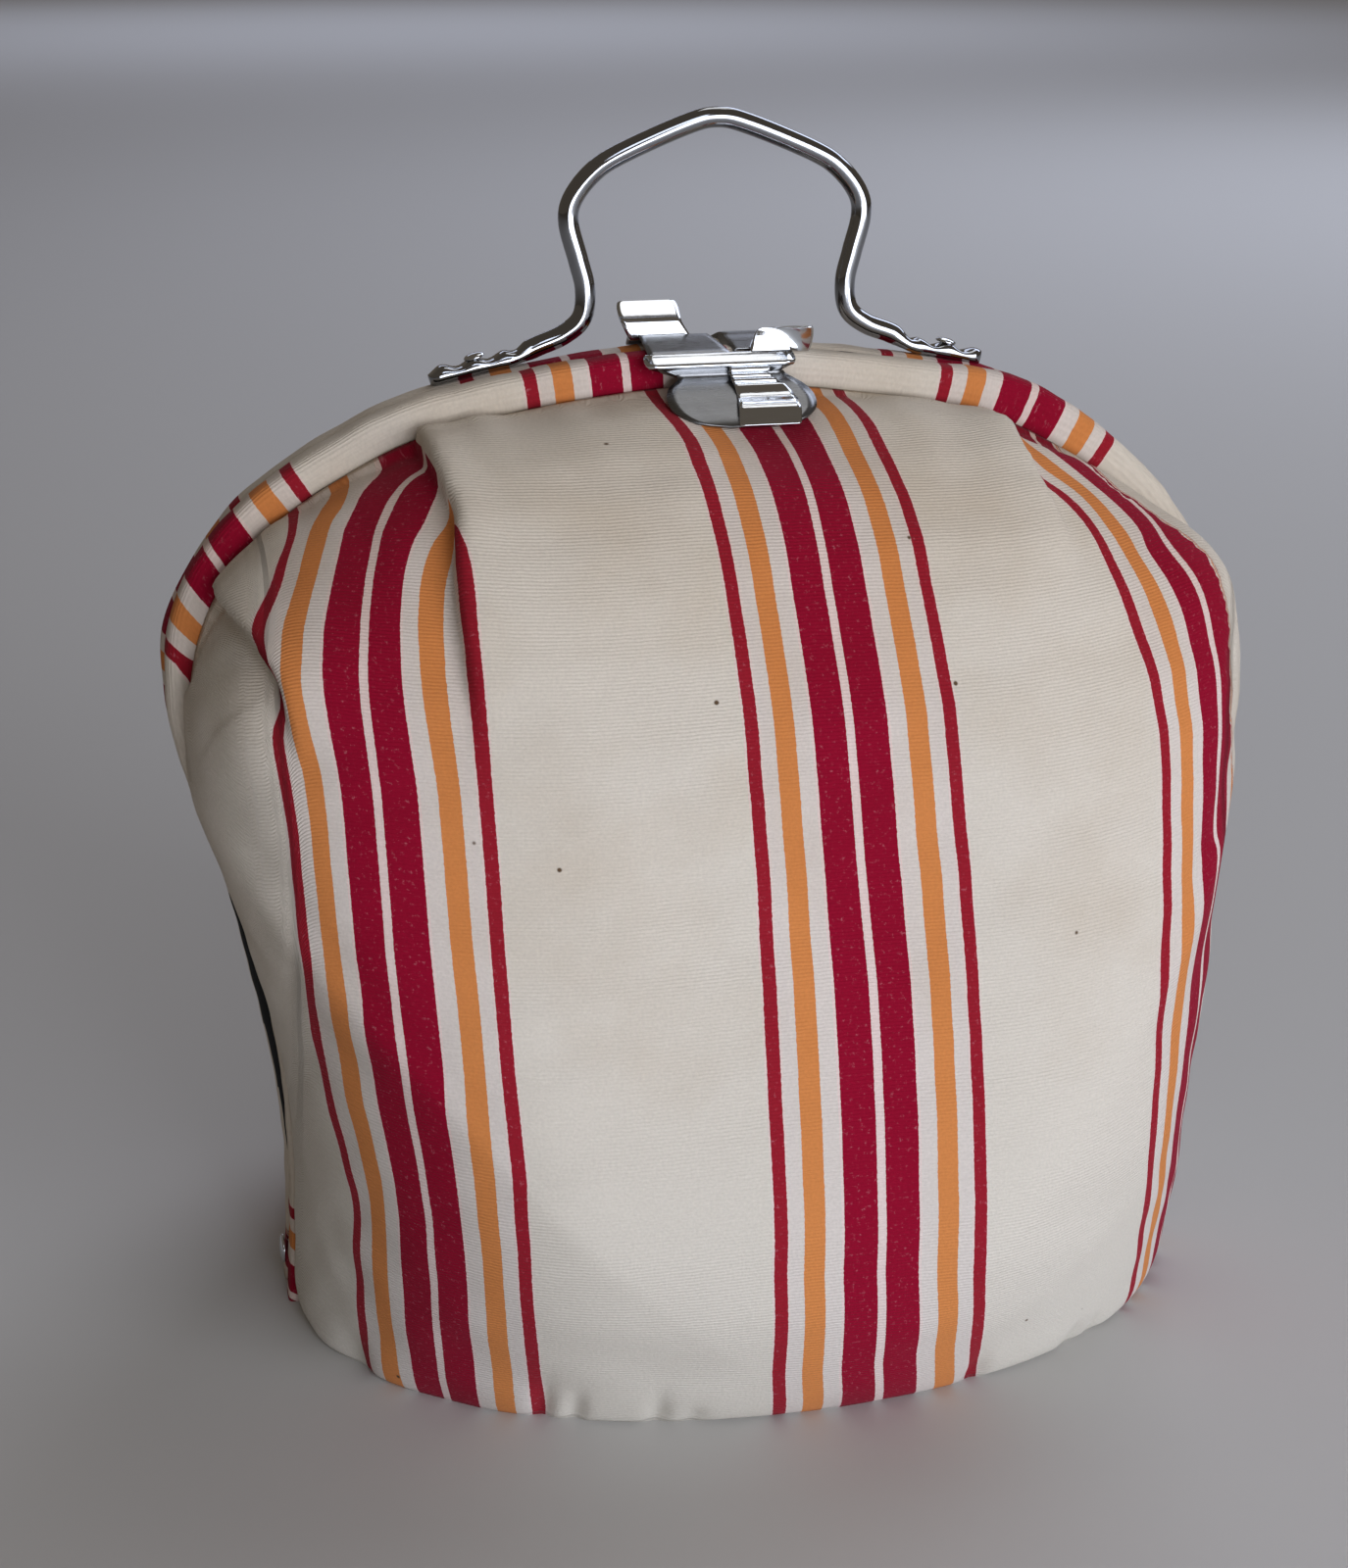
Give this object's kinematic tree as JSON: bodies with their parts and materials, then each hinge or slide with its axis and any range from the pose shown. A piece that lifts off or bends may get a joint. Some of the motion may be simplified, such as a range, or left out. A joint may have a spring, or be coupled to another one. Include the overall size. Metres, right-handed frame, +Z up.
{
  "type": "tea cosy",
  "caption": "Padded purse-form tea cosy: striped cotton half-shells pleated into cloth-cased hoop rims, with a clasp and a wire carrying handle.",
  "frame": {"origin": "middle of the bounding box at the bottom of the hem, on the table top", "axes": "+Z up, along the handle; the half-shell with the face plate of the front jaw looks along -Y; the rims close in the plane y = 0"},
  "size_m": [0.3016, 0.239, 0.3358],
  "materials": {
    "striped_cotton": "ribbed cream cotton with crimson, orange and red stripe groups",
    "striped_casing": "the same cotton, cut across, over the rim hoops",
    "chromed_steel": "polished wire",
    "bright_sheet": "bright plated sheet, slightly worn"
  },
  "bodies": {
    "root": {"front_shell": "striped_cotton", "rear_shell": "striped_cotton", "front_rim": "striped_casing", "rear_rim": "striped_casing", "front_clasp": "bright_sheet", "rear_clasp": "bright_sheet", "handle": "chromed_steel", "handle_rivet_left": "bright_sheet", "handle_rivet_right": "bright_sheet", "hinge_left": "bright_sheet", "hinge_right": "bright_sheet"}
  },
  "joints": []
}
